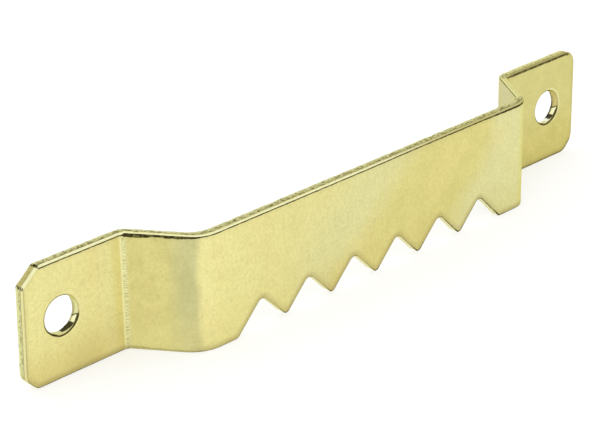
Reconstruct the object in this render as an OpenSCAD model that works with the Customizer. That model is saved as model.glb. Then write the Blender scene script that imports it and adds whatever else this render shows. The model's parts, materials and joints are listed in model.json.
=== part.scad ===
// Sawtooth picture hanger: one strip of sheet metal, cut to its outline with a row
// of notches and two screw holes, then bent so that the toothed bar stands off
// the two screw tabs.
//
// X runs along the strip, Z runs up, and the room is on the -Y side.
// The backs of the tabs lie on the plane y = 0.
// The origin is on that plane, midway between the centres of the two screw holes.

/* [Strip] */
// Height of the strip, from the bottom edge to the top edge
strip_height = 12.7; // [11:0.1:20]
// Thickness of the sheet
sheet = 1; // [0.6:0.05:1.5]

/* [Bar, legs and tabs] */
// Length of the bar between the front corners of its two bends
bar_length = 50; // [46:0.5:80]
// Distance from the backs of the tabs to the front of the bar
stand_off = 7.6; // [4:0.1:12]
// Angle between each leg and the plane of the tabs
leg_angle = 56; // [40:1:80]
// Length of a tab, from its end to the front corner of its bend
tab_length = 12.8; // [10:0.1:20]
// Inside radius of the bend between a tab and its leg
tab_bend_radius = 0.5; // [0.2:0.1:1.5]
// Inside radius of the bend between a leg and the bar
bar_bend_radius = 1.3; // [0.5:0.1:2]

/* [Screw holes] */
// Diameter of each screw hole
hole_bore = 4; // [3:0.1:5]
// Distance from the end of the strip to the centre of the hole
hole_inset = 4.9; // [4:0.1:6.5]
// Height of the hole's centre above the bottom edge
hole_rise = 6.6; // [5:0.05:7.5]

/* [Notches and teeth] */
// Number of notches along the bottom edge of the bar
notch_count = 6; // [1:1:6]
// Distance between neighbouring notches
notch_pitch = 6.8; // [5:0.1:7.4]
// Depth of a notch, from the bottom edge to where its sides would meet
notch_depth = 3.5; // [2:0.1:5]
// Angle between the two sides of a notch
notch_angle = 90; // [60:1:95]
// Radius at the bottom of each notch
notch_radius = 0.75; // [0.1:0.05:0.8]
// Radius at the tip of each tooth
tooth_radius = 0.6; // [0.1:0.05:0.8]

/* [Tab corners] */
// Size of the 45 degree cut at each top corner
top_corner_cut = 2; // [0.5:0.1:2.6]
// Size of the 45 degree cut at each bottom corner
bottom_corner_cut = 1.2; // [0.5:0.1:2.6]
// Radius that blends each cut into the edges beside it
corner_radius = 0.6; // [0.1:0.1:1]

/* [Hidden] */
$fn = 96;

// How far every cutting shape runs past the metal
overrun = sheet;
// Largest turn between two neighbouring faces of a bend or a rounded corner
facet_turn = 7.5;

// Run of a leg along X, and how far a bend's back corner lies inside its front one
leg_run = (stand_off - sheet) / tan(leg_angle);
bend_shift = sheet * tan(leg_angle / 2);

// Places along the strip, from its middle
half_bar = bar_length / 2;
tab_start = half_bar + leg_run;
half_length = tab_start + tab_length;
hole_x = half_length - hole_inset;

// The notches
half_mouth = notch_depth * tan(notch_angle / 2);
half_flat = max(0, notch_pitch / 2 - half_mouth);
tip_rise = max(0, notch_depth - notch_pitch / 2 / tan(notch_angle / 2));
first_notch_x = -(notch_count - 1) * notch_pitch / 2;

// The strip seen from above, from its middle to the +X end along the front and
// back again, as corners [x, y, radius]
half_profile = [
    [half_bar, -stand_off, bar_bend_radius + sheet],
    [tab_start, -sheet, tab_bend_radius],
    [half_length + overrun, -sheet, 0],
    [half_length + overrun, 0, 0],
    [tab_start - bend_shift, 0, tab_bend_radius + sheet],
    [half_bar - bend_shift, sheet - stand_off, bar_bend_radius]
];

// The right-hand end of the strip seen from the front, as corners [x, z, radius]
half_outline = [
    [half_length - bottom_corner_cut, 0, corner_radius],
    [half_length, bottom_corner_cut, corner_radius],
    [half_length, strip_height - top_corner_cut, corner_radius],
    [half_length - top_corner_cut, strip_height, corner_radius]
];

// The same corners on the -X side, in the order that closes the loop
function mirrored(corners) =
    [
        for (i = [len(corners) - 1 : -1 : 0])
            [-corners[i].x, corners[i].y, corners[i].z]
    ];

// A notch's apex, and what follows it on the way to the next notch: the shared
// tip of a tooth, or the two ends of a flat, as corners [x, z, radius]
function notch_corners(index) =
    let (
        x = first_notch_x + index * notch_pitch,
        last = index == notch_count - 1
    )
    [
        [x, notch_depth, notch_radius],
        if (last || half_flat > 0) [x + half_mouth, 0, tooth_radius],
        if (!last && half_flat > 0) [x + notch_pitch - half_mouth, 0, tooth_radius],
        if (!last && half_flat == 0) [x + notch_pitch / 2, tip_rise, tooth_radius]
    ];

notched_edge = [
    [first_notch_x - half_mouth, 0, tooth_radius],
    for (index = [0 : notch_count - 1]) each notch_corners(index)
];

function unit(v) = v / norm(v);

// Points of the arc that rounds one corner. The radius gives way where an edge
// beside the corner is too short for it.
function rounded(before, corner, after, radius) =
    let (
        back = unit(before - corner),
        ahead = unit(after - corner),
        half_angle = acos(back * ahead) / 2,
        room = min(norm(before - corner), norm(after - corner)) / 2,
        fitted = min(radius, room * tan(half_angle)),
        centre = corner + unit(back + ahead) * fitted / sin(half_angle),
        spoke = corner + back * fitted / tan(half_angle) - centre,
        start = atan2(spoke.y, spoke.x),
        turn = 180 - 2 * half_angle,
        steps = ceil(turn / facet_turn),
        sweep = -sign(cross(back, ahead)) * turn
    )
    radius == 0
        ? [corner]
        : [
            for (step = [0 : steps])
                let (angle = start + sweep * step / steps)
                centre + fitted * [cos(angle), sin(angle)]
        ];

// A closed shape from corners [x, y, radius]
module rounded_polygon(corners) {
    count = len(corners);
    flat = [for (corner = corners) [corner.x, corner.y]];
    polygon([
        for (i = [0 : count - 1])
            each rounded(
                flat[(i + count - 1) % count],
                flat[i],
                flat[(i + 1) % count],
                corners[i].z
            )
    ]);
}

// The bent sheet, before its edges are cut
module bent_sheet() {
    translate([0, 0, -overrun])
        linear_extrude(strip_height + 2 * overrun)
            rounded_polygon(concat(half_profile, mirrored(half_profile)));
}

// The outline that the edges are cut to, through the whole depth of the strip
module cut_outline() {
    translate([0, overrun, 0])
        rotate([90, 0, 0])
            linear_extrude(stand_off + 2 * overrun)
                rounded_polygon(concat(notched_edge, half_outline, mirrored(half_outline)));
}

module screw_hole() {
    translate([0, overrun, hole_rise])
        rotate([90, 0, 0])
            cylinder(h = sheet + 2 * overrun, d = hole_bore);
}

// The hanger, with its bottom edge lowered so that the holes lie at z = 0
module toothed_strip() {
    color([0.87, 0.83, 0.56])
        translate([0, 0, -hole_rise])
            difference() {
                intersection() {
                    bent_sheet();
                    cut_outline();
                }
                for (side = [-1, 1])
                    translate([side * hole_x, 0, 0])
                        screw_hole();
            }
}

toothed_strip();
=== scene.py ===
"""A sawtooth picture hanger: one bent strip of brass-plated steel, and the studio it is shown in.

The properties hold lengths in metres. The flat blank is shaped in millimetres, in the plane of its own
front, and is brought to metres when it has been bent.
"""

import json
import math

import bmesh
import bpy
from bpy.props import FloatProperty, FloatVectorProperty, IntProperty, PointerProperty
from mathutils import Matrix, Vector, noise


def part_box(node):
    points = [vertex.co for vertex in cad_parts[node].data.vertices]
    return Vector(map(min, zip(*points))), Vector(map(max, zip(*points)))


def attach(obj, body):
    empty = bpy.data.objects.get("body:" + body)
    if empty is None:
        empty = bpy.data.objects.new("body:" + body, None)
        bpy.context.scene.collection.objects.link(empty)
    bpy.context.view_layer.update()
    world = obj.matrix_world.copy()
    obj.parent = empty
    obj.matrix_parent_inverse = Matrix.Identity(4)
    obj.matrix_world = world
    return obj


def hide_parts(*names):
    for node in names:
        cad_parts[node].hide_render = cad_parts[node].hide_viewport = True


bl_info = {
    "name": "Sawtooth picture hanger",
    "version": (1, 0, 0),
    "blender": (4, 5, 0),
    "location": "View3D > Sidebar > Hanger",
    "description": "Makes the bent strip of a sawtooth picture hanger and a plain studio for it",
    "category": "Add Mesh",
}

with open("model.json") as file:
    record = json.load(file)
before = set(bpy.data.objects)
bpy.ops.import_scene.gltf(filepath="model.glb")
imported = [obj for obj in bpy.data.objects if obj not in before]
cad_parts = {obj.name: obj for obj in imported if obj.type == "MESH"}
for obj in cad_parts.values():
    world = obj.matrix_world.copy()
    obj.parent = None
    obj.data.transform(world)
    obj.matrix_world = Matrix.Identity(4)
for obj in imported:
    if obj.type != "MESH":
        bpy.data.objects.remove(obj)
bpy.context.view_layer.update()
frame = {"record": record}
STRIP_LOW, STRIP_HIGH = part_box("toothed_strip")
SCREW_HOLES = next(m for m in frame["record"]["mounts"] if m["name"] == "screw_holes")["dims"]
MM = 1000

# The strip's second and third materials, on its cut edges and in its holes
EDGE, BORE = 1, 2


# Properties


def length(name, default, description):
    return FloatProperty(name=name, description=description, default=default, unit="LENGTH", precision=5)


def angle(name, degrees, description):
    return FloatProperty(name=name, description=description, default=math.radians(degrees), unit="ROTATION")


def colour(name, default, description):
    return FloatVectorProperty(
        name=name, description=description, default=default, subtype="COLOR", min=0, max=1
    )


def position(name, default, description):
    return FloatVectorProperty(
        name=name, description=description, default=default, subtype="TRANSLATION", unit="LENGTH"
    )


def strength(name, default, description):
    return FloatProperty(name=name, description=description, default=default, min=0)


class StripSizes(bpy.types.PropertyGroup):
    """Sizes of the strip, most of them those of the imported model, and how its two ends differ"""

    sheet: length("Sheet", 0.001, "Thickness of the sheet")
    strip_height: length("Height", STRIP_HIGH.z - STRIP_LOW.z, "Height of the strip")
    hole_rise: length("Hole rise", -STRIP_LOW.z, "Height of the screw holes above the bottom edge")
    hole_spacing: length("Hole spacing", SCREW_HOLES["spacing_x_mm"] / MM, "Distance between the screw holes")
    hole_bore: length("Hole bore", 2 * SCREW_HOLES["hole_r_mm"] / MM, "Diameter of each screw hole")
    whole_length: length("Length", STRIP_HIGH.x - STRIP_LOW.x, "Length of the hanger")
    bar_length: length("Bar length", 0.050, "Length of the bar between the front corners of its bends")
    stand_off: length("Stand-off", STRIP_HIGH.y - STRIP_LOW.y, "From the tabs' backs to the bar's front")
    leg_angle: angle("Leg angle", 56, "Angle between each leg and the plane of the tabs")
    left_bar_bend: length("Left bar bend", 0.0030, "Inside radius of the bend between left leg and bar")
    right_bar_bend: length("Right bar bend", 0.0020, "Inside radius of the bend between right leg and bar")
    left_tab_bend: length("Left tab bend", 0.0009, "Inside radius of the bend beside the left tab")
    right_tab_bend: length("Right tab bend", 0.0015, "Inside radius of the bend beside the right tab")
    notch_count: IntProperty(name="Notches", description="Notches along the bar", default=6, min=1)
    notch_pitch: length("Notch pitch", 0.0068, "Distance between neighbouring notches")
    notch_depth: length("Notch depth", 0.0035, "From the bottom edge to where a notch's sides would meet")
    notch_radius: length("Notch radius", 0.00075, "Radius at the bottom of each notch")
    tooth_radius: length("Tooth radius", 0.0006, "Radius at the tip of each tooth")
    left_lean: length("Left end lean", 0.00030, "How far the left end leans in at its top")
    left_top_cut: length("Left top cut", 0.0020, "Length of the cut across the left tab's top corner")
    left_top_drop: length("Left top drop", 0.0017, "Height of the cut across the left tab's top corner")
    left_top_radius: length("Left top radius", 0.00045, "Radius beside the left tab's top cut")
    left_bottom_cut: length("Left bottom cut", 0.0013, "Size of the left tab's bottom cut")
    left_bottom_radius: length("Left bottom radius", 0.0010, "Radius beside the left tab's bottom cut")
    right_top_cut: length("Right top cut", 0.0010, "Size of the right tab's top cut")
    right_bottom_cut: length("Right bottom cut", 0.0014, "Size of the right tab's bottom cut")
    right_corner_radius: length("Right corner radius", 0.0016, "Radius beside each cut of the right tab")


class ShearSizes(bpy.types.PropertyGroup):
    """What the shear and the punches leave along the cut edges"""

    roll_width: length("Roll width", 0.00038, "Width of the rolled rim along the front of the top edge")
    roll_depth: length("Roll depth", 0.00013, "How far the rolled rim drops along the top edge")
    low_roll: strength("Low roll", 0.3, "Size of the rolled rim along the other edges, next to the top one")
    bore_roll_width: length("Bore roll width", 0.00016, "Width of a hole's rolled rim on its +X side")
    bore_roll_depth: length("Bore roll depth", 0.00010, "How far a hole's rolled rim drops on its +X side")
    bore_lean_width: length("Bore lean width", 0.00050, "Width of a hole's rolled rim on its -X side")
    bore_lean_depth: length("Bore lean depth", 0.00042, "How far a hole's rolled rim drops on its -X side")
    burnish: length("Burnished land", 0.00017, "Depth to which a cut edge is smooth")
    tear: length("Tear", 0.00005, "How far the torn part of a cut edge lies back")


class PlatingColours(bpy.types.PropertyGroup):
    """Colours of the plating, and of the light and shade painted on it"""

    brass: colour("Brass", (0.86, 0.79, 0.335), "The plating over most of the strip")
    # Bright is also a painted highlight on the left tab, on the bend at the bar's left end and low on the
    # left leg, besides pale clouds in the plating
    bright: colour("Bright", (0.92, 0.855, 0.38), "The plating at its thickest and clearest")
    peach: colour("Peach", (0.88, 0.75, 0.32), "Warm clouds in the plating")
    # Olive is also painted shade: darker and greener on the left leg, the bar's right part and the right tab
    olive: colour("Olive", (0.65, 0.59, 0.205), "Greenish plating, deepest on the right tab")
    # Moss is also painted light in the tones along the bar towards its right end and at the top of the right
    # tab
    moss: colour("Moss", (0.785, 0.765, 0.395), "Pale greenish clouds on the bar")
    # Ochre is painted shade: darker and warmer low down on the strip, and deeper in the right tab's hole
    ochre: colour("Ochre", (0.68, 0.55, 0.18), "Warm plating low down on the strip")
    # Shade is painted shade beside the cut edges, along the crease and in the holes, and also dark clouds,
    # speckle and grain in the plating
    shade: colour("Shade", (0.42, 0.36, 0.14), "Plating that darkens beside the cut edges")
    # Pale is also a painted reflection on the bar's right bend and on the right leg, besides pale streaks,
    # the back of the torn edges and the walls of the holes
    pale: colour("Pale", (0.78, 0.775, 0.40), "Plating that is stretched thin on the bends")
    # Painted shade: grey on the bend of the left leg and deeper into the holes
    grey_shade: colour("Dull", (0.57, 0.565, 0.29), "Thin greyish plating on the bend of the left leg")
    # Painted reflection: the back face greyed and paled, most of all behind the right leg
    back: colour("Back", (0.60, 0.605, 0.52), "Thin pale plating on the back")
    # Rim is painted shade: the dark lines along the rolled rims, the cut edges and the holes
    rim: colour("Rim", (0.028, 0.023, 0.004), "The dark line along the rolled rims")
    # Besides the burnished land, cream is a painted highlight on the rolled rims, the crease, the right leg
    # and in the holes
    cream: colour("Cream", (0.98, 0.965, 0.58), "The burnished land of the cut edges")
    # Fresh is a painted highlight: the palest tone on the left-facing sides of the notches and at the foot of
    # the right tab's hole
    fresh: colour("Fresh", (0.97, 0.96, 0.80), "The palest metal, on the left-facing sides of the notches")
    torn: colour("Torn", (0.59, 0.575, 0.33), "The torn part of the cut edges")
    pit: colour("Pit", (0.07, 0.055, 0.012), "Pits in the torn part of the cut edges")


class StudioSettings(bpy.types.PropertyGroup):
    """Floor, light and camera"""

    floor_size: length("Floor", 4.0, "Length and width of the floor")
    floor_colour: colour("Floor colour", (0.5, 0.5, 0.5), "Colour of the floor")
    floor_lift: strength("Floor lift", 0.58, "How much paler the floor looks than it is lit")
    floor_gleam: strength("Floor gleam", 0.54, "How much paler the floor is in reflections than it is lit")
    sky: strength("Sky", 0.98, "Light from all round")
    overhead: strength("Overhead", 0.10, "Power of the overhead softbox, in watts")
    overhead_size: length("Overhead size", 0.5, "Length and width of the overhead softbox")
    overhead_place: position("Overhead place", (0.0, 0.15, 0.6), "Where the overhead softbox hangs")
    side: strength("Side", 0.05, "Power of the softbox at the left, in watts")
    side_size: length("Side size", 0.3, "Length and width of the softbox at the left")
    side_place: position("Side place", (-0.35, -0.45, 0.35), "Where the softbox at the left hangs")
    azimuth: angle("Azimuth", 45.229, "Turn of the camera from looking straight at the front")
    elevation: angle("Elevation", 24.104, "Angle at which the camera looks down")
    roll: angle("Roll", -1.0204, "Turn of the camera about its own line of sight")
    distance: length("Distance", 0.2124, "From the camera to the point that it looks at")
    aim: position("Aim", (-0.01142, -0.00761, 0.00322), "Point that the camera looks at")
    lens: FloatProperty(name="Lens", description="Focal length", default=125.744, unit="CAMERA")


# Shape of the strip


class HalfPlan:
    """One half of the strip, from the middle of the bar to the end of its tab, in millimetres"""

    def __init__(self, sizes, bar_bend, tab_bend):
        sheet = sizes.sheet * MM
        turn = sizes.leg_angle
        rise = sizes.stand_off * MM - sheet
        bar_mid = bar_bend * MM + sheet / 2
        tab_mid = tab_bend * MM + sheet / 2
        bar_setback = (bar_mid + sheet / 2) * math.tan(turn / 2)
        tab_setback = (tab_mid - sheet / 2) * math.tan(turn / 2)
        tab_start = sizes.bar_length * MM / 2 + rise / math.tan(turn)
        self.bar_flat = sizes.bar_length * MM / 2 - bar_setback
        leg = rise / math.sin(turn) - bar_setback - tab_setback

        # The layer half way through the sheet, as stretches of a length and a curvature
        self.stretches = [
            (self.bar_flat, 0),
            (turn * bar_mid, 1 / bar_mid),
            (leg, 0),
            (turn * tab_mid, -1 / tab_mid),
            (sizes.whole_length * MM / 2 - tab_start - tab_setback, 0),
        ]
        self.leg_start = self.bar_flat + turn * bar_mid
        self.leg_end = self.leg_start + leg
        self.tab_start = self.leg_end + turn * tab_mid
        self.end = sum(run for run, curvature in self.stretches)
        self.hole = self.end - (sizes.whole_length - sizes.hole_spacing) * MM / 2


class StripPlan:
    """Sizes in millimetres, with what follows from them"""

    def __init__(self, sizes, shear):
        self.sheet = sizes.sheet * MM
        self.bottom = -sizes.hole_rise * MM
        self.top = self.bottom + sizes.strip_height * MM
        self.stand_off = sizes.stand_off * MM
        self.bore = sizes.hole_bore * MM / 2
        self.left = HalfPlan(sizes, sizes.left_bar_bend, sizes.left_tab_bend)
        self.right = HalfPlan(sizes, sizes.right_bar_bend, sizes.right_tab_bend)
        self.holes = [Vector((-self.left.hole, 0, 0)), Vector((self.right.hole, 0, 0))]

        # The two corners of the cut at the left tab's top
        lean = sizes.left_lean * MM - self.left.end
        self.left_corners = [
            (lean + sizes.left_top_cut * MM, self.top),
            (lean, self.top - sizes.left_top_drop * MM),
        ]

        # Places across a rim, from its inner side to the cut edge itself
        self.rim_gaps = [0.4, 0.3, 0.2, 0.1, 0.04, 0.012]
        self.bore_gaps = [0.55, 0.4, 0.3, 0.22, 0.15, 0.1, 0.06, 0.02, 0]
        self.top_roll = (shear.roll_width * MM, shear.roll_depth * MM)
        self.low_roll = [size * shear.low_roll for size in self.top_roll]
        self.near_roll = (shear.bore_roll_width * MM, shear.bore_roll_depth * MM)
        self.far_roll = (shear.bore_lean_width * MM, shear.bore_lean_depth * MM)
        self.burnish = shear.burnish * MM
        self.tear = shear.tear * MM

        # Places through the sheet of the rings round a cut edge's wall, as shares of its thickness
        self.wall_shares = [0.0, 0.12, 0.24, 0.36, 0.46, 0.56, 0.66, 0.76, 0.86, 0.94, 1.0]

        # Half the side of the square of grid cells that gives way to a hole and its rim
        self.patch = 3.0

        # Largest width of a grid cell on the flats and on the bends, and turn of a round corner's facet
        self.cell = 0.45
        self.bend_cell = 0.13
        self.facet_turn = math.radians(11)

    def half_columns(self, half):
        marks = [0]
        for run, curvature in half.stretches:
            marks.append(marks[-1] + run)
        marks[-1:] = [half.hole - self.patch, half.hole + self.patch, marks[-1]]
        bends = [index for index, stretch in enumerate(half.stretches) if stretch[1]]
        columns = []
        for index, (start, end) in enumerate(zip(marks, marks[1:])):
            pitch = self.bend_cell if index in bends else self.cell
            columns += spread(start, end, pitch)[1:]
        return columns[:-1]

    def columns(self):
        """Places of the grid's upright lines along the blank, without its two ends"""
        left = [-place for place in self.half_columns(self.left)]
        return left[::-1] + [0] + self.half_columns(self.right)

    def rows(self):
        """Heights of the grid's level lines, without the two edges"""
        low = spread(self.bottom, -self.patch, self.cell)[1:]
        middle = spread(-self.patch, self.patch, self.cell)[1:]
        high = spread(self.patch, self.top, self.cell)[1:-1]
        return low + middle + high

    def edge_roll(self, way):
        """Width and depth of the rolled rim beside a cut edge that faces a given way"""
        return mixed(self.low_roll, self.top_roll, max(0, way.z))

    def bore_roll(self, way):
        """The same for a hole's rim, which is rolled deeper on its -X side"""
        return mixed(self.near_roll, self.far_roll, (1 + way.x) / 2)

    def bent(self, along, depth):
        """Where a point of the blank comes to lie, seen from above"""
        stretches = self.right.stretches if along > 0 else self.left.stretches
        x, y, heading = 0, self.sheet / 2 - self.stand_off, 0
        left = abs(along)
        for run, curvature in stretches:
            step = left if run == stretches[-1][0] else min(left, run)
            turn = step * curvature
            chord = 2 * math.sin(turn / 2) / curvature if curvature else step
            x += chord * math.cos(heading + turn / 2)
            y += chord * math.sin(heading + turn / 2)
            heading += turn
            left -= step
        offset = depth - self.sheet / 2
        x -= offset * math.sin(heading)
        y += offset * math.cos(heading)
        return math.copysign(x, along), y


def mixed(first, second, share):
    """Numbers part of the way from the first row to the second"""
    return [a + (b - a) * share for a, b in zip(first, second)]


def spread(start, end, pitch):
    """Even places from start to end, no further apart than the pitch"""
    count = math.ceil((end - start) / pitch - 1e-6)
    return [start + (end - start) * step / count for step in range(count + 1)]


def blank_corners(plan, sizes):
    """Corners of the blank as place, height and radius, anticlockwise as seen from the front"""
    pitch = sizes.notch_pitch * MM
    depth = sizes.notch_depth * MM
    tooth = sizes.tooth_radius * MM
    first = -(sizes.notch_count - 1) * pitch / 2
    left, right = -plan.left.end, plan.right.end
    bottom, top = plan.bottom, plan.top

    corners = [(first - depth, bottom, tooth)]
    for index in range(sizes.notch_count):
        place = first + index * pitch
        corners.append((place, bottom + depth, sizes.notch_radius * MM))
        if index < sizes.notch_count - 1:
            corners.append((place + pitch / 2, bottom + depth - pitch / 2, tooth))
    corners.append((-first + depth, bottom, tooth))

    radius = sizes.right_corner_radius * MM
    cut = sizes.right_bottom_cut * MM
    corners += [(right - cut, bottom, radius), (right, bottom + cut, radius)]
    cut = sizes.right_top_cut * MM
    corners += [(right, top - cut, radius), (right - cut, top, radius)]
    radius = sizes.left_top_radius * MM
    cut, drop, lean = sizes.left_top_cut * MM, sizes.left_top_drop * MM, sizes.left_lean * MM
    corners += [(left + lean + cut, top, radius), (left + lean, top - drop, radius)]
    radius = sizes.left_bottom_radius * MM
    cut = sizes.left_bottom_cut * MM
    corners += [(left, bottom + cut, radius), (left + cut, bottom, radius)]
    return corners


def cut_blank(bm, plan, sizes):
    """One flat face with the blank's outline"""
    corners = blank_corners(plan, sizes)
    verts = [bm.verts.new((place, 0, height)) for place, height, radius in corners]
    blank = bm.faces.new(verts)
    bm.normal_update()
    for vert, (place, height, radius) in zip(verts, corners):
        before, after = (edge.other_vert(vert).co - vert.co for edge in vert.link_edges)
        half = before.angle(after) / 2
        bmesh.ops.bevel(
            bm,
            geom=[vert],
            offset=radius / math.tan(half),
            affect="VERTICES",
            segments=math.ceil((math.pi - 2 * half) / plan.facet_turn),
            profile=0.5,
            material=-1,
        )
    (blank,) = bm.faces
    return blank


def ring_blank(bm, blank, plan, layers):
    """Rings of narrow faces that follow the outline and carry the rolled rim"""
    so_far = 0
    for place in reversed(plan.rim_gaps):
        outer = set(blank.verts)
        bmesh.ops.inset_individual(bm, faces=[blank], thickness=place - so_far, use_even_offset=True)
        for vert in blank.verts:
            (across,) = [e.other_vert(vert) for e in vert.link_edges if e.other_vert(vert) in outer]
            vert[layers.gap] = place
            vert[layers.way] = (across.co - vert.co).normalized()
            if not so_far:
                across[layers.way] = vert[layers.way]
        so_far = place


def cut_grid(bm, plan):
    cuts = [((place, 0, 0), (1, 0, 0)) for place in plan.columns()]
    cuts += [((0, 0, height), (0, 0, 1)) for height in plan.rows()]
    for point, normal in cuts:
        bmesh.ops.bisect_plane(
            bm, geom=bm.verts[:] + bm.edges[:] + bm.faces[:], dist=1e-4, plane_co=point, plane_no=normal
        )


def near_hole(point, hole, reach):
    return max(abs(point.x - hole.x), abs(point.z - hole.z)) < reach


def punch_hole(bm, plan, layers, hole):
    """A square of the grid gives way to the hole and the rings of its rolled rim"""
    square = [face for face in bm.faces if near_hole(face.calc_center_median(), hole, plan.patch)]
    bmesh.ops.delete(bm, geom=square, context="FACES")
    just_past = plan.patch + 0.1
    around = [e for e in bm.edges if e.is_boundary and near_hole(e.verts[0].co, hole, just_past)]
    radius = plan.bore + plan.bore_gaps[0]
    made = bmesh.ops.create_circle(
        bm,
        segments=len(around),
        radius=radius,
        matrix=Matrix.Translation(hole) @ Matrix.Rotation(math.pi / 2, 4, "X"),
    )
    ring = made["verts"]
    rim = list({edge for vert in ring for edge in vert.link_edges})
    bmesh.ops.bridge_loops(bm, edges=around + rim)
    mark_ring(ring, layers, hole, plan.bore_gaps[0])
    for gap in plan.bore_gaps[1:]:
        ring, rim, faces = extrude_rim(bm, rim)
        shrink = (plan.bore + gap) / radius
        bmesh.ops.scale(bm, verts=ring, vec=(shrink,) * 3, space=Matrix.Translation(-hole))
        mark_ring(ring, layers, hole, gap)
        radius = plan.bore + gap


def mark_ring(ring, layers, hole, gap):
    for vert in ring:
        vert[layers.gap] = gap
        vert[layers.way] = (hole - vert.co).normalized()


def measure_gaps(bm, plan, layers, outline):
    """Each point inside the rims gets its distance to the nearest cut edge"""
    runs = [(start, end - start) for start, end in zip(outline, outline[1:] + outline[:1])]
    just_inside = plan.rim_gaps[0] - 0.001
    for vert in bm.verts:
        if vert[layers.gap] < just_inside:
            continue
        gaps = [(vert.co - hole).length - plan.bore for hole in plan.holes]
        for start, run in runs:
            share = max(0, min(1, (vert.co - start).dot(run) / run.length_squared))
            gaps.append((start + run * share - vert.co).length)
        vert[layers.gap] = min(gaps)


def extrude_rim(bm, rim):
    """New vertices, new outer edges and new faces of an extruded rim"""
    made = bmesh.ops.extrude_edge_only(bm, edges=rim)["geom"]
    verts = [part for part in made if isinstance(part, bmesh.types.BMVert)]
    faces = [part for part in made if isinstance(part, bmesh.types.BMFace)]
    fresh = set(verts)
    edges = [part for part in made if isinstance(part, bmesh.types.BMEdge) and set(part.verts) <= fresh]
    return verts, edges, faces


def rolled(roll, gap):
    """How far a rolled rim has dropped at a distance from the cut edge"""
    width, depth = roll
    if gap >= width:
        return 0
    return depth * (1 - math.sqrt(1 - (1 - gap / width) ** 2))


def hole_beside(plan, point):
    """The hole whose patch a point lies in, or nothing"""
    return next((hole for hole in plan.holes if near_hole(point, hole, plan.patch)), None)


def thicken(bm, plan, layers):
    """A back face, the rolled rim at the front and the walls of the cut edges between them"""
    front = bm.verts[:]
    copied = bmesh.ops.duplicate(bm, geom=bm.verts[:] + bm.edges[:] + bm.faces[:])["geom"]
    back = [part for part in copied if isinstance(part, bmesh.types.BMVert)]
    bmesh.ops.translate(bm, verts=back, vec=(0, plan.sheet, 0))
    back_faces = [part for part in copied if isinstance(part, bmesh.types.BMFace)]
    bmesh.ops.reverse_faces(bm, faces=back_faces)

    for vert in front:
        roll = plan.bore_roll if hole_beside(plan, vert.co) else plan.edge_roll
        vert.co.y = rolled(roll(vert[layers.way]), vert[layers.gap])

    rim = list({edge for vert in front for edge in vert.link_edges if edge.is_boundary})
    for low, high in zip(plan.wall_shares, plan.wall_shares[1:]):
        ring, rim, faces = extrude_rim(bm, rim)
        for vert in ring:
            begun = vert.co.y
            vert.co.y = begun + (plan.sheet - begun) * (high - low) / (1 - low)
        for face in faces:
            face.material_index = BORE if hole_beside(plan, face.verts[0].co) else EDGE
    bmesh.ops.remove_doubles(bm, verts=ring + back, dist=1e-4)


def ragged(point, across, through, shift=0):
    """Noise from -1 to 1, at one scale across the blank and another through its depth"""
    return noise.noise(Vector((point.x * across, point.y * through, point.z * across + shift)))


def tear_edges(bm, plan, layers):
    """The torn part of every cut edge lies back a little, unevenly"""
    onset = 0.15  # Depth over which the tear grows to its full size
    for vert in bm.verts:
        depth = vert.co.y
        near = 1 - vert[layers.gap] / plan.rim_gaps[0]
        if near <= 0 or depth <= plan.burnish:
            continue
        torn = min(1, (depth - plan.burnish) / onset)
        coarse = ragged(vert.co, 1.1, 3)
        fine = ragged(vert.co, 3.1, 5, shift=7)
        back = plan.tear * torn * near * (1 + 0.9 * coarse + 0.7 * fine)
        vert.co -= Vector(vert[layers.way]) * max(0, back)


def bend_blank(bm, plan):
    for vert in bm.verts:
        vert.co.x, vert.co.y = plan.bent(vert.co.x, vert.co.y)


class BlankLayers:
    """What each vertex keeps from the flat blank: its place, and how far off and which way a cut edge is"""

    def __init__(self, bm):
        self.place = bm.verts.layers.float_vector.new("blank_place")
        self.gap = bm.verts.layers.float.new("edge_gap")
        self.way = bm.verts.layers.float_vector.new("edge_way")


def strip_mesh(plan, sizes):
    bm = bmesh.new()
    layers = BlankLayers(bm)
    blank = cut_blank(bm, plan, sizes)
    outline = [vert.co.copy() for vert in blank.verts]
    ring_blank(bm, blank, plan, layers)
    cut_grid(bm, plan)
    for hole in plan.holes:
        punch_hole(bm, plan, layers, hole)
    measure_gaps(bm, plan, layers, outline)
    thicken(bm, plan, layers)
    tear_edges(bm, plan, layers)
    for vert in bm.verts:
        vert[layers.place] = vert.co
    bend_blank(bm, plan)
    bmesh.ops.recalc_face_normals(bm, faces=bm.faces[:])
    bmesh.ops.scale(bm, verts=bm.verts[:], vec=(1 / MM,) * 3)
    for face in bm.faces:
        face.smooth = True
    mesh = bpy.data.meshes.new("hanger_strip")
    bm.to_mesh(mesh)
    bm.free()
    mesh.set_sharp_from_angle(angle=math.radians(40))
    return mesh


# Materials


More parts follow.
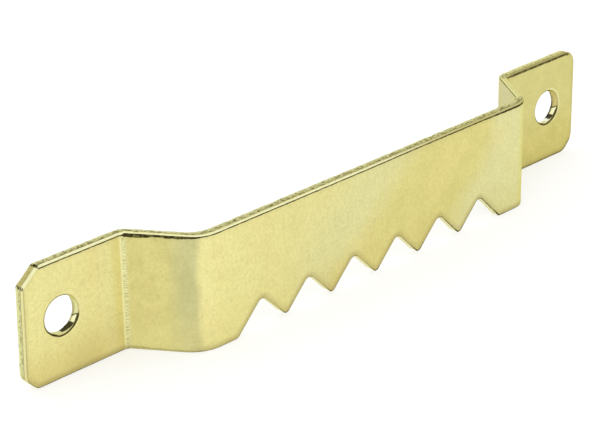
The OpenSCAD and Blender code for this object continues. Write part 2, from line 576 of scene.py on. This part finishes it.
class Wire:
    """An output socket, with arithmetic that adds Math nodes"""

    def __init__(self, graph, socket):
        self.graph = graph
        self.socket = socket

    def output(self, name):
        return Wire(self.graph, self.socket.node.outputs[name])

    def __add__(self, other):
        return self.graph.math("ADD", self, other)

    def __radd__(self, other):
        return self.graph.math("ADD", other, self)

    def __sub__(self, other):
        return self.graph.math("SUBTRACT", self, other)

    def __rsub__(self, other):
        return self.graph.math("SUBTRACT", other, self)

    def __mul__(self, other):
        return self.graph.math("MULTIPLY", self, other)

    def __rmul__(self, other):
        return self.graph.math("MULTIPLY", other, self)

    def __truediv__(self, other):
        return self.graph.math("DIVIDE", self, other)

    def ease(self, start, end):
        """0 at the start and 1 at the end, with a soft step between"""
        inputs = {"Value": self, "From Min": start, "From Max": end}
        return self.graph.add("ShaderNodeMapRange", {"interpolation_type": "SMOOTHSTEP"}, inputs)

    def between(self, start, end, soft, soft_end=None):
        """1 from the start to the end, and 0 beyond them"""
        soft_end = soft_end or soft
        opened = self.ease(start - soft, start + soft)
        closed = self.ease(end - soft_end, end + soft_end)
        return opened * (1 - closed)


class Graph:
    """The nodes of a material or a world"""

    def __init__(self, owner):
        owner.use_nodes = True
        self.nodes = owner.node_tree.nodes
        self.links = owner.node_tree.links
        self.nodes.clear()

    def add(self, kind, settings=None, inputs=None, output=0):
        node = self.nodes.new(kind)
        for name, value in (settings or {}).items():
            if name == "stops":
                set_stops(node.color_ramp.elements, value)
            else:
                setattr(node, name, value)
        for key, value in (inputs or {}).items():
            if isinstance(value, Wire):
                self.links.new(value.socket, node.inputs[key])
            else:
                node.inputs[key].default_value = value
        return Wire(self, node.outputs[output] if node.outputs else None)

    def math(self, operation, first, second):
        return self.add("ShaderNodeMath", {"operation": operation}, {0: first, 1: second})

    def bump(self, strength, distance, height):
        """A surface that rises with the height, by the distance in metres"""
        inputs = {"Strength": strength, "Distance": distance, "Height": height}
        return self.add("ShaderNodeBump", None, inputs)


def set_stops(elements, stops):
    """The places and colours of a ramp's stops"""
    while len(elements) < len(stops):
        elements.new(1)
    for element, (place, tone) in zip(elements, stops):
        element.position = place
    for element, (place, tone) in zip(elements, stops):
        element.color = tone


def tint(value):
    if isinstance(value, Wire):
        return value
    return (*value, 1)


def blend(share, first, second):
    """Two colours mixed, from the first to the second"""
    inputs = {0: share, 6: tint(first), 7: tint(second)}
    return share.graph.add("ShaderNodeMix", {"data_type": "RGBA"}, inputs, output=2)


def finish_surface(graph, surface):
    graph.add("ShaderNodeOutputMaterial", None, {"Surface": surface})


def metal(graph, base, roughness, bump):
    """Plating that shines like metal, where the darkest tones, the painted shade lines and the pits, are matt
    """
    shine = graph.add("ShaderNodeRGBToBW", None, {0: base}).ease(0.02, 0.16)
    inputs = {
        "Base Color": base,
        "Metallic": shine,
        "Specular IOR Level": 0.0,
        "Specular Tint": (0.95, 0.88, 0.45, 1),
        "Roughness": roughness,
        "Normal": bump,
    }
    return graph.add("ShaderNodeBsdfPrincipled", None, inputs)


class Spot:
    """Where a point lies on the flat blank, in millimetres, and which part of the strip that is"""

    def __init__(self, graph, plan):
        left, right = plan.left, plan.right
        self.graph = graph
        self.place = graph.add("ShaderNodeAttribute", {"attribute_name": "blank_place"}, output=1)
        self.along = graph.add("ShaderNodeSeparateXYZ", None, {0: self.place})
        self.depth = self.along.output("Y")
        self.height = self.along.output("Z")
        self.gap = graph.add("ShaderNodeAttribute", {"attribute_name": "edge_gap"}, output=2)
        way = graph.add("ShaderNodeAttribute", {"attribute_name": "edge_way"}, output=1)
        self.sideways = graph.add("ShaderNodeSeparateXYZ", None, {0: way})
        rise = self.sideways.output("Z")
        self.at_top = rise.ease(0.82, 0.96)
        self.at_foot = (0 - rise).ease(0.3, 0.6)
        self.at_left_end = (0 - self.sideways).ease(0.85, 0.97)
        self.at_left_cut = (0 - self.sideways).ease(0.3, 0.6) * rise.ease(0.3, 0.6)
        self.facing_left = (0 - self.sideways).ease(0.3, 0.6)
        first, second = (self.beside(*corner) for corner in plan.left_corners)
        self.at_left_corners = first + second

        self.on_left_tab = 1 - self.along.ease(-left.tab_start - 0.2, -left.tab_start + 0.4)
        self.on_left_leg = self.along.between(-left.leg_end - 0.55, -left.leg_start + 1.2, 0.25, 1.2)
        self.on_right_leg = self.along.between(right.leg_start - 0.4, right.leg_end + 0.4, 0.5)
        self.on_right_tab = self.along.ease(right.tab_start - 0.4, right.tab_start + 0.2)
        self.past_left_leg = self.along.ease(-left.leg_start, -left.leg_start + 2)
        self.to_right = self.along.ease(-4, 18)
        self.behind = self.depth.ease(0.9 * plan.sheet, 0.99 * plan.sheet)
        self.front = 1 - self.behind

        # Parts of the bottom edge: what faces left, the same towards the right, and the tips of the teeth
        self.lit_foot = self.at_foot * self.facing_left
        self.lined_foot = self.lit_foot * self.to_right
        low_down = 1 - self.height.ease(plan.bottom + 0.3, plan.bottom + 1.6)
        self.tips = self.at_foot * low_down * self.along.between(-19, 21, 1)

        # Degrees round the nearer hole from +X, anticlockwise as seen from the front
        across = self.along + left.hole - self.along.ease(-1, 1) * (left.hole + right.hole)
        self.turn = graph.math("ARCTAN2", self.height, across) * (180 / math.pi)
        radius = graph.math("SQRT", across * across + self.height * self.height, 0)
        self.at_bore = 1 - radius.ease(plan.bore + 0.6, plan.bore + 0.7)
        self.lean = (0 - across / radius).ease(-1, 1)

    def beside(self, along, height):
        """1 at a point of the blank's outline, and 0 a quarter of a millimetre from it"""
        across = self.along - along
        up = self.height - height
        return 1 - self.graph.math("SQRT", across * across + up * up, 0).ease(0.08, 0.26)

    def grain(self, scale, detail=2, roughness=0.5):
        """Noise from 0 to 1, at one scale or at three: along the blank, through it and up it"""
        place = self.place
        if isinstance(scale, tuple):
            place = self.graph.add("ShaderNodeVectorMath", {"operation": "MULTIPLY"}, {0: place, 1: scale})
            scale = 1
        inputs = {"Vector": place, "Scale": scale, "Detail": detail, "Roughness": roughness}
        return self.graph.add("ShaderNodeTexNoise", None, inputs)


def tone_along(spot, colours, plan):
    """Colour of the plating from one end of the strip to the other, with painted highlight and painted shade:
    bright on the left tab and the left bar bend, darker and greener on the left leg, grey on its bend, darker
    towards the right and pale on the right bend
    """
    left, right = plan.left, plan.right
    leg = mixed(colours.brass, colours.olive, 0.50)
    stops = [
        (-left.end, colours.bright),
        (-left.tab_start - 7, mixed(colours.brass, colours.bright, 0.7)),
        (-left.tab_start - 3.2, mixed(colours.bright, colours.peach, 0.2)),
        (-left.tab_start - 1.2, mixed(colours.bright, colours.cream, 0.35)),
        (-left.tab_start, mixed(colours.brass, colours.bright, 0.8)),
        (-left.tab_start + 1.1, leg),
        (-left.leg_start - 1.7, leg),
        (-left.leg_start - 0.1, mixed(leg, colours.grey_shade, 0.65)),
        (-left.leg_start + 1.1, mixed(leg, colours.grey_shade, 0.75)),
        (-left.leg_start + 1.8, colours.bright),
        (-13, mixed(colours.brass, colours.moss, 0.2)),
        (-8, mixed(colours.brass, colours.moss, 0.7)),
        (-3, mixed(colours.brass, colours.moss, 0.8)),
        (2, mixed(colours.brass, colours.olive, 0.40)),
        (14.5, mixed(colours.brass, colours.olive, 0.50)),
        (18.8, colours.moss),
        (right.leg_start - 2.6, mixed(colours.moss, colours.pale, 0.3)),
        (right.leg_start - 1.5, colours.pale),
        (right.leg_end, mixed(colours.pale, colours.olive, 0.2)),
        (right.tab_start, colours.olive),
        (right.end, colours.olive),
    ]
    wander = spot.grain((0.4, 1, 0.25), detail=3) - 0.5
    slant = spot.height * spot.along.between(-10, 19, 4, 3) * 1.1
    share = (spot.along - slant + wander * 1.2 + left.end) / (left.end + right.end)
    places = [((place + left.end) / (left.end + right.end), tint(tone)) for place, tone in stops]
    return spot.graph.add("ShaderNodeValToRGB", {"stops": places}, {0: share})


def plating_tone(spot, colours, plan):
    """Colour of the plating with its clouds, before anything along the edges, and the patches in it"""
    clouds = spot.grain(0.16, detail=3, roughness=0.55)
    patches = spot.grain((0.45, 0.5, 0.5), detail=5, roughness=0.6)
    speckle = spot.grain((2.0, 1.5, 1.8), detail=4, roughness=0.7)
    tone = tone_along(spot, colours, plan)
    tone = blend(clouds.ease(0.50, 0.68) * 0.30, tone, colours.peach)
    shaded = patches.ease(0.42, 0.66) * (0.06 + spot.on_left_leg * 0.09)
    tone = blend(shaded, tone, colours.shade)
    tone = blend((0.52 - patches).ease(0, 0.15) * 0.10, tone, colours.bright)
    tone = blend(speckle.ease(0.40, 0.72) * 0.17, tone, colours.shade)
    tone = streaks_and_shade_tone(spot, tone, colours, plan)
    # Painted reflection: the back face turns grey and pale, most of all behind the right leg
    stretched = spot.along.between(plan.right.leg_start, plan.right.leg_end, 2.5)
    tone = blend(spot.behind * (0.45 + stretched * 0.27), tone, colours.back)
    return tone, patches


def streaks_and_shade_tone(spot, tone, colours, plan):
    """Marks that have a place of their own: a peach flush beside the left tab's bend and pale streaks at the
    bar's right end, with painted shade low down and a painted paler top on the right tab
    """
    bend = -plan.left.tab_start
    flush = spot.along.between(bend - 4.6, bend - 2.4, 1.2, 0.7) * spot.height.ease(0, 5)
    tone = blend(flush * 0.25, tone, colours.peach)
    streaks = spot.grain((3.5, 1, 0.3), detail=3, roughness=0.6).ease(0.45, 0.68)
    bar_end = spot.along.between(plan.right.bar_flat - 5, plan.right.leg_start, 2, 0.5)
    tone = blend(streaks * bar_end * 0.40, tone, colours.pale)

    # Painted shade: darker and warmer towards the bottom edge, most of all on the left tab; on the left leg
    # painted light instead
    low_down = 1 - spot.height.ease(plan.bottom - 0.5, plan.bottom + 6)
    warm = 0.18 + spot.on_left_tab * 0.40 - spot.on_left_leg * 0.18
    warm = warm + spot.along.between(-9, -3.5, 2.5) * 0.4
    tone = blend(low_down * warm, tone, colours.ochre)
    tone = blend(low_down * spot.on_left_leg * 0.35, tone, colours.bright)
    low_shade = spot.along.between(bend - 6.8, bend - 3.0, 1.5, 1.2) * low_down
    tone = blend(low_shade * 0.20, tone, colours.shade)
    # Painted light: the right tab paler and greener at its top
    high_up = spot.height.ease(-4, 1)
    return blend(high_up * spot.on_right_tab * 0.30, tone, colours.moss)


def crease_tone(spot, tone, colours, plan):
    """The left tab's bend on its hollow side: a painted highlight as a bright line, and small beads beside it
    painted with light and shade
    """
    start = -plan.left.tab_start
    line = spot.along.between(start + 0.31, start + 0.47, 0.06)
    ticks = spot.grain((1.1, 1, 9), detail=1)
    beside = spot.along.between(start + 0.56, start + 1.26, 0.10, 0.30) * spot.front
    tone = blend(beside * 0.55, tone, colours.pale)
    tone = blend(beside * ticks.ease(0.50, 0.64) * 0.55, tone, colours.shade)
    tone = blend(beside * (0.5 - ticks).ease(0, 0.14) * 0.5, tone, colours.cream)
    return blend(line * spot.front * 0.7, tone, colours.cream)


def rim_line(spot, plan):
    """The steep of a rolled rim, from the cut edge to the dark line, and the dark line itself"""
    wander = spot.grain(1.1, detail=4, roughness=0.65) - 0.5
    near_crease = 1 - spot.along.ease(-plan.left.leg_end, -plan.left.leg_end + 3.5)
    near_bend = spot.along.between(plan.right.bar_flat - 4, plan.right.leg_start, 2, 0.5)

    top_start = 0.21 - spot.along.ease(-4, 12) * 0.06 - spot.on_left_leg * 0.14 - spot.on_right_tab * 0.02
    start = spot.at_top * top_start + spot.at_left_end * 0.12 + spot.at_left_cut * 0.20
    start = start + spot.lit_foot * 0.05 - spot.lined_foot * 0.03 + wander * 0.05

    top_width = 0.07 + spot.to_right * 0.02 + near_bend * 0.09
    width = 0.055 + spot.at_top * top_width + spot.at_left_end * 0.09 + spot.on_right_tab * 0.13
    width = width + spot.on_left_leg * (0.15 + near_crease * 0.14)
    width = width + (spot.at_foot - spot.lit_foot) * 0.03 + spot.lined_foot * 0.04 + spot.tips * 0.06
    end = start + width + wander * (0.10 + spot.on_left_leg * 0.25)

    begun = spot.gap.ease(start - 0.02, start + 0.02)
    ended = spot.gap.ease(end - 0.02, end + 0.02)
    return 1 - begun, begun * (1 - ended)


def rim_tone(spot, tone, colours, plan):
    """Plating along the rolled rims: painted shade, then a dark line of painted shade, then a painted
    highlight in cream on the steep of the roll
    """
    steep, line = rim_line(spot, plan)
    # Painted shade that falls off away from the cut edges, deeper on the bottom edge
    fall = 1 - spot.gap.ease(0.1, 1.1)
    foot_shade = 0.42 + spot.on_left_tab * 0.10 - spot.on_left_leg * 0.48 - spot.facing_left * 0.22
    tone = blend(fall * fall * (0.22 + spot.at_foot * foot_shade) * spot.front, tone, colours.shade)

    # Painted highlight on the steep of the roll, turned to painted shade towards the right
    cream = spot.at_top + spot.at_left_cut * 0.8 + spot.at_left_end * 0.35
    cream = cream + spot.lit_foot * 0.7 - spot.lined_foot * 0.4
    lip = spot.past_left_leg * (1 - spot.gap.ease(0.02, 0.09))
    faded = (1 - spot.to_right * spot.at_top * 0.97) * (1 - lip * spot.at_top * 0.8)
    tone = blend(steep * cream * spot.front * faded, tone, colours.cream)
    dimmed = spot.at_top * spot.to_right * (0.35 + spot.on_right_tab * 0.45)
    tone = blend(steep * dimmed * spot.front, tone, colours.shade)

    # The dark line of painted shade, broken into dashes
    dashes = spot.grain((1.6, 1, 1.6), detail=4, roughness=0.65)
    broken = 1 - dashes.ease(0.50, 0.58) * (0.2 + spot.lined_foot * 0.3)
    foot_weight = 0.48 + spot.on_left_tab * 0.3 + (spot.to_right - spot.on_right_tab) * 0.3
    foot_weight = foot_weight - spot.on_left_leg * 0.3 + spot.lined_foot * 0.2 + spot.tips * 0.4
    weight = 0.12 + spot.at_top * (0.88 - spot.on_right_tab * 0.08)
    weight = weight + spot.at_foot * foot_weight + spot.at_left_end * 0.18
    tone = blend(line * weight * broken * spot.front, tone, colours.rim)
    return blend(spot.at_left_corners * dashes.ease(0.40, 0.46) * spot.front, tone, colours.rim)


def bore_tone(spot, tone, colours):
    """Painted shade as a dark outline round a screw hole, thickest at its lower left, and a painted highlight
    beside its right side
    """
    low_left = spot.turn.between(-146, -108, 8)
    right_side = spot.turn.between(-104, -14, 6, 4)
    thick = spot.turn.between(-55, -14, 12, 4)
    upper_right = spot.turn.between(-6, 70, 8, 14)
    start = spot.lean * 0.13 * (1 - low_left)
    end = 0.12 + spot.lean * 0.15 - low_left * 0.06 + thick * 0.03
    ring = spot.gap.ease(start - 0.02, start + 0.02)
    ring = ring * (1 - spot.gap.ease(end - 0.03, end + 0.03))
    weight = 0.66 + spot.lean * 0.24 + low_left * 0.30 + right_side * 0.34 - upper_right * 0.45
    gleam = spot.gap.between(0.20, 0.40, 0.06) * spot.turn.between(-60, 90, 16)
    tone = blend(gleam * (0.25 + spot.on_right_tab * 0.2) * spot.front, tone, colours.cream)
    return blend(ring * weight * spot.front, tone, colours.rim)


def plated_face(colours, plan):
    """Satin brass plating on the rolled surface of the sheet"""
    material = bpy.data.materials.new("plated_face")
    graph = Graph(material)
    spot = Spot(graph, plan)
    tone, patches = plating_tone(spot, colours, plan)
    tone = crease_tone(spot, tone, colours, plan)
    at_edge = rim_tone(spot, tone, colours, plan)
    tone = blend(spot.at_bore, at_edge, bore_tone(spot, tone, colours))
    grain = spot.grain(3.4, detail=3, roughness=0.65)
    tone = blend(grain.ease(0.35, 0.70) * 0.17, tone, colours.shade)
    roughness = 0.36 + (patches - 0.5) * 0.16 + (grain - 0.5) * 0.10
    bump = graph.bump(0.12, 0.00005, grain)
    finish_surface(graph, metal(graph, tone, roughness, bump))
    return material


def torn_tone(spot, colours, plan, land, flecks):
    """The torn part of a cut edge, with painted shadow just behind the land that crowds its pits there, and
    paler at its back
    """
    behind_land = (spot.depth - land).between(0.06, 0.18, 0.04) * (1 - spot.on_right_tab)
    step_shadow = spot.on_left_tab * 0.12 + spot.at_left_end * 0.05 + 0.06
    far = spot.depth.ease(0.5 * plan.sheet, 0.9 * plan.sheet)
    pits = (flecks + behind_land * step_shadow - far * 0.08).ease(0.48, 0.54)
    pits = pits * (0.74 - spot.at_left_end * 0.35 - spot.on_right_tab * 0.3)
    pale = far * 0.55 + spot.at_left_end * 0.6 + spot.on_right_tab * 0.5
    return blend(pits, blend(pale, colours.torn, colours.pale), colours.pit)


def land_tone(spot, colours):
    """The burnished land of a cut edge: cream, but on the left end bright and shaded at its front"""
    tone = blend(spot.at_left_end * 0.8, colours.cream, colours.bright)
    soft = (1 - spot.depth.ease(0.04, 0.2)) * spot.at_left_end
    return blend(soft * 0.35, tone, colours.shade)


def sheared_edge(colours, plan):
    """A burnished land next to the front of each cut edge, then the torn part"""
    material = bpy.data.materials.new("sheared_edge")
    graph = Graph(material)
    spot = Spot(graph, plan)
    waver = spot.grain((0.8, 0.1, 0.8), detail=3) - 0.5
    chatter = spot.grain((2.6, 0.4, 2.6)) - 0.5
    flecks = spot.grain((3.4, 5.2, 3.4), detail=3, roughness=0.6)
    land = plan.burnish * (1 - spot.past_left_leg) + spot.on_left_leg * 0.30 + spot.at_left_end * 0.02
    land = land + waver * 0.12 + chatter * 0.08
    torn = spot.depth.ease(land - 0.03, land + 0.03)
    tone = torn_tone(spot, colours, plan, land, flecks)
    tone = blend(torn, land_tone(spot, colours), tone)

    # Painted highlight: the walls of the notches are pale, palest where they face left
    wall = blend(spot.facing_left * 0.75, colours.pale, colours.fresh)
    tone = blend(spot.at_foot * 0.85, tone, wall)
    dark_cut = mixed(colours.olive, colours.shade, 0.5)
    cut = blend(spot.depth.ease(0.2, 0.45), colours.cream, dark_cut)
    tone = blend(spot.at_left_cut * (1 - spot.at_top) * 0.8, tone, cut)
    tone = blend(spot.at_left_corners * flecks.ease(0.42, 0.48), tone, colours.rim)

    # Painted shade: a dark line along the front of the right tab's top edge
    tab_line = (1 - (spot.depth + waver * 0.25).ease(0.22, 0.32)) * spot.on_right_tab * spot.at_top
    tab_line = tab_line * (0.80 - chatter.ease(-0.05, 0.05) * 0.40)
    tone = blend(tab_line, tone, colours.rim)
    tone = blend(spot.on_right_leg * 0.9, tone, right_leg_tone(spot, colours, plan))
    bump = graph.bump(0.5, 0.00004, torn * (1 - flecks))
    finish_surface(graph, metal(graph, tone, 0.24 + torn * 0.22, bump))
    return material


def right_leg_tone(spot, colours, plan):
    """The right leg was cut clean: pale, with a faint seam, a painted highlight, painted shade at its front
    and a dark line of painted shade at its back
    """
    seam = spot.depth.between(0.35, 0.50, 0.08)
    lit = spot.depth.between(0.62, 0.76, 0.06)
    back_line = spot.depth.between(0.80 * plan.sheet, 0.94 * plan.sheet, 0.03)
    tone = blend(seam * 0.35, colours.pale, colours.olive)
    tone = blend(lit * 0.5, tone, colours.cream)
    tone = blend((1 - spot.depth.ease(0.05, 0.22)) * 0.25, tone, colours.shade)
    return blend(back_line * 0.9, tone, colours.rim)


class BoreSpot(Spot):
    """A spot on the wall of a hole, with turns and a depth that waver, so that borders there are smeared"""

    def __init__(self, graph, plan):
        super().__init__(graph, plan)
        smears = self.grain((1.6, 1.2, 1.6), detail=3, roughness=0.6) - 0.5
        self.above_turn = self.turn + self.depth * 13 + 14 - self.on_right_tab * 6 + smears * 14
        self.below_turn = self.turn + smears * 10
        self.wavy_depth = self.depth + smears * 0.12


def upper_bore_tone(spot, colours):
    """Above the seam, which lies just under the right-hand side: pale, with painted shade deeper into the
    hole, golden in the right tab, and a dark line of painted shade at the back edge
    """
    on_right = spot.on_right_tab
    deep = spot.wavy_depth.ease(0.25, 0.95)
    tone = blend(deep * 0.75, colours.pale, colours.grey_shade)
    gold = blend(deep, mixed(colours.ochre, colours.shade, 0.15), colours.shade)
    tone = blend(on_right * spot.above_turn.between(-2, 120, 4) * 0.85, tone, gold)
    back_edge = spot.depth.ease(0.84, 0.92) * spot.above_turn.between(-2, 110, 6)
    return blend(back_edge * (0.35 + on_right * 0.5), tone, colours.rim)


def lower_bore_tone(spot, tone, colours):
    """Below the seam: a painted highlight as a bright window with painted shade at its back, painted shade
    behind a bright land, and in the right tab a painted highlight at the foot, a band of painted shade and a
    dark line deep in the hole
    """
    on_right = spot.on_right_tab
    depth, below = spot.wavy_depth, spot.below_turn
    foot = spot.above_turn.between(-104, -36, 5)
    tone = blend(on_right * foot * 0.9, tone, colours.fresh)
    band_shade = spot.turn.between(-104, -76, 4) * depth.between(0.50, 0.66, 0.05)
    tone = blend(on_right * band_shade * 0.6, tone, colours.shade)

    shade_end = -86 + on_right * 22
    window_start = below.ease(-45, -40)
    sector = below.ease(shade_end - 4, shade_end + 4) * (1 - window_start)
    land = 0.14 + (0 - below).ease(42, 95) * 0.38
    behind_land = depth.ease(land - 0.04, land + 0.04)
    tone = blend(sector * (1 - behind_land), tone, colours.cream)
    tone = blend(sector * behind_land * 0.95, tone, colours.rim)

    tone = blend(window_start * (1 - spot.above_turn.ease(-6, -2)), tone, colours.cream)
    window_back = depth.ease(0.68, 0.76) * below.between(-44, 10, 2, 14)
    tone = blend(window_back * 0.75, tone, colours.shade)
    deep_line = depth.ease(0.80, 0.86) * below.between(-66, 0, 3) * on_right
    return blend(deep_line * 0.85, tone, colours.rim)


def bore_line_tone(spot, tone, colours):
    """Dark lines: the seam itself, and painted shade along the front rim and at the lower left"""
    turn, on_right = spot.above_turn, spot.on_right_tab
    seam = turn.between(-4, 1, 1.5)
    below_rim = spot.depth - spot.lean * 0.32
    thick = turn.between(-40, 0, 10, 3) * 0.07
    lip = (turn + on_right * 12).between(-122, 0, 6)
    lip = lip * (1 - (below_rim - thick).ease(0.13, 0.19))
    corner = turn.between(-128, -92 + on_right * 12, 6)
    corner = corner * (1 - (below_rim - on_right * 0.12).ease(0.16, 0.26))
    tone = blend(seam * 0.9 + lip, tone, colours.rim)
    return blend(corner, tone, colours.rim)


def punched_bore(colours, plan):
    """Bore of a screw hole: burnished where the punch rubbed it, with painted highlights and painted shade in
    places
    """
    material = bpy.data.materials.new("punched_bore")
    graph = Graph(material)
    spot = BoreSpot(graph, plan)
    tone = upper_bore_tone(spot, colours)
    tone = lower_bore_tone(spot, tone, colours)
    tone = bore_line_tone(spot, tone, colours)
    scores = spot.grain((6, 0.6, 6))
    finish_surface(graph, metal(graph, tone, 0.20 + scores * 0.15, graph.bump(0.25, 0.00004, scores)))
    return material


class HANGER_OT_strip(bpy.types.Operator):
    """Make the strip: cut the blank, punch it, give it its edges, bend it and plate it"""

    bl_idname = "hanger.strip"
    bl_label = "Strip"

    def execute(self, context):
        scene = context.scene
        plan = StripPlan(scene.hanger_strip, scene.hanger_shear)
        mesh = strip_mesh(plan, scene.hanger_strip)
        for make in (plated_face, sheared_edge, punched_bore):
            mesh.materials.append(make(scene.hanger_colours, plan))
        strip = bpy.data.objects.new("hanger_strip", mesh)
        scene.collection.objects.link(strip)
        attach(strip, "root")
        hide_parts("toothed_strip")
        return {"FINISHED"}


# Studio


def floor_material(studio):
    """A pale floor that looks a little paler than it is lit, and keeps its shadows"""
    material = bpy.data.materials.new("studio_floor")
    graph = Graph(material)
    ray = graph.add("ShaderNodeLightPath")
    lifted = ray.output("Is Camera Ray") * studio.floor_lift
    lifted = lifted + ray.output("Is Glossy Ray") * studio.floor_gleam
    cloth = graph.add("ShaderNodeBsdfDiffuse", None, {"Color": tint(studio.floor_colour)})
    lift = graph.add("ShaderNodeEmission", None, {"Color": (1, 1, 1, 1), "Strength": lifted})
    finish_surface(graph, graph.add("ShaderNodeAddShader", None, {0: cloth, 1: lift}))
    return material


def make_floor(scene, studio):
    bm = bmesh.new()
    bmesh.ops.create_grid(bm, x_segments=8, y_segments=8, size=studio.floor_size / 2)
    bmesh.ops.translate(bm, verts=bm.verts[:], vec=(0, 0, STRIP_LOW.z))
    mesh = bpy.data.meshes.new("studio_floor")
    bm.to_mesh(mesh)
    bm.free()
    mesh.materials.append(floor_material(studio))
    floor = bpy.data.objects.new("studio_floor", mesh)
    scene.collection.objects.link(floor)


def light_sky(scene, studio):
    """Even light from all round, which the camera sees as white"""
    world = bpy.data.worlds.new("studio_sky")
    scene.world = world
    graph = Graph(world)
    ray = graph.add("ShaderNodeLightPath")
    seen = ray.output("Is Camera Ray")
    power = studio.sky + seen * (1 - studio.sky)
    sky = graph.add("ShaderNodeBackground", None, {"Color": (1, 1, 1, 1), "Strength": power})
    graph.add("ShaderNodeOutputWorld", None, {"Surface": sky})


def hang_softbox(scene, name, place, size, power):
    """A square lamp that faces the hanger"""
    lamp = bpy.data.lights.new(name, "AREA")
    lamp.shape = "SQUARE"
    lamp.size = size
    lamp.energy = power
    box = bpy.data.objects.new(name, lamp)
    box.location = place
    box.rotation_euler = (-Vector(place)).to_track_quat("-Z", "Y").to_euler()
    scene.collection.objects.link(box)


def set_camera(scene, studio):
    data = bpy.data.cameras.new("studio_camera")
    data.lens = studio.lens
    data.sensor_width = 36
    data.sensor_fit = "HORIZONTAL"
    data.clip_start = 0.01
    data.clip_end = 20
    camera = bpy.data.objects.new("studio_camera", data)
    camera.matrix_world = (
        Matrix.Translation(studio.aim)
        @ Matrix.Rotation(-studio.azimuth, 4, "Z")
        @ Matrix.Rotation(math.pi / 2 - studio.elevation, 4, "X")
        @ Matrix.Rotation(studio.roll, 4, "Z")
        @ Matrix.Translation((0, 0, studio.distance))
    )
    scene.collection.objects.link(camera)
    scene.camera = camera


class HANGER_OT_studio(bpy.types.Operator):
    """Make the floor, the light and the camera"""

    bl_idname = "hanger.studio"
    bl_label = "Studio"

    def execute(self, context):
        scene = context.scene
        studio = scene.hanger_studio
        make_floor(scene, studio)
        light_sky(scene, studio)
        hang_softbox(scene, "overhead_softbox", studio.overhead_place, studio.overhead_size, studio.overhead)
        hang_softbox(scene, "side_softbox", studio.side_place, studio.side_size, studio.side)
        set_camera(scene, studio)
        scene.view_settings.view_transform = "Standard"
        return {"FINISHED"}


class HANGER_PT_panel(bpy.types.Panel):
    bl_idname = "HANGER_PT_panel"
    bl_label = "Sawtooth hanger"
    bl_space_type = "VIEW_3D"
    bl_region_type = "UI"
    bl_category = "Hanger"

    def draw(self, context):
        for operator in OPERATORS:
            self.layout.operator(operator.bl_idname)
        for group in GROUPS:
            settings = getattr(context.scene, group)
            for name in settings.__annotations__:
                self.layout.prop(settings, name)


OPERATORS = (HANGER_OT_strip, HANGER_OT_studio)
GROUPS = {
    "hanger_strip": StripSizes,
    "hanger_shear": ShearSizes,
    "hanger_colours": PlatingColours,
    "hanger_studio": StudioSettings,
}


def register():
    for kind in (*GROUPS.values(), *OPERATORS, HANGER_PT_panel):
        bpy.utils.register_class(kind)
    for name, kind in GROUPS.items():
        setattr(bpy.types.Scene, name, PointerProperty(type=kind))


def unregister():
    for name in GROUPS:
        delattr(bpy.types.Scene, name)
    for kind in (HANGER_PT_panel, *reversed(OPERATORS), *reversed(GROUPS.values())):
        bpy.utils.unregister_class(kind)


def main():
    register()
    bpy.ops.hanger.strip()
    bpy.ops.hanger.studio()


if __name__ == "__main__":
    main()
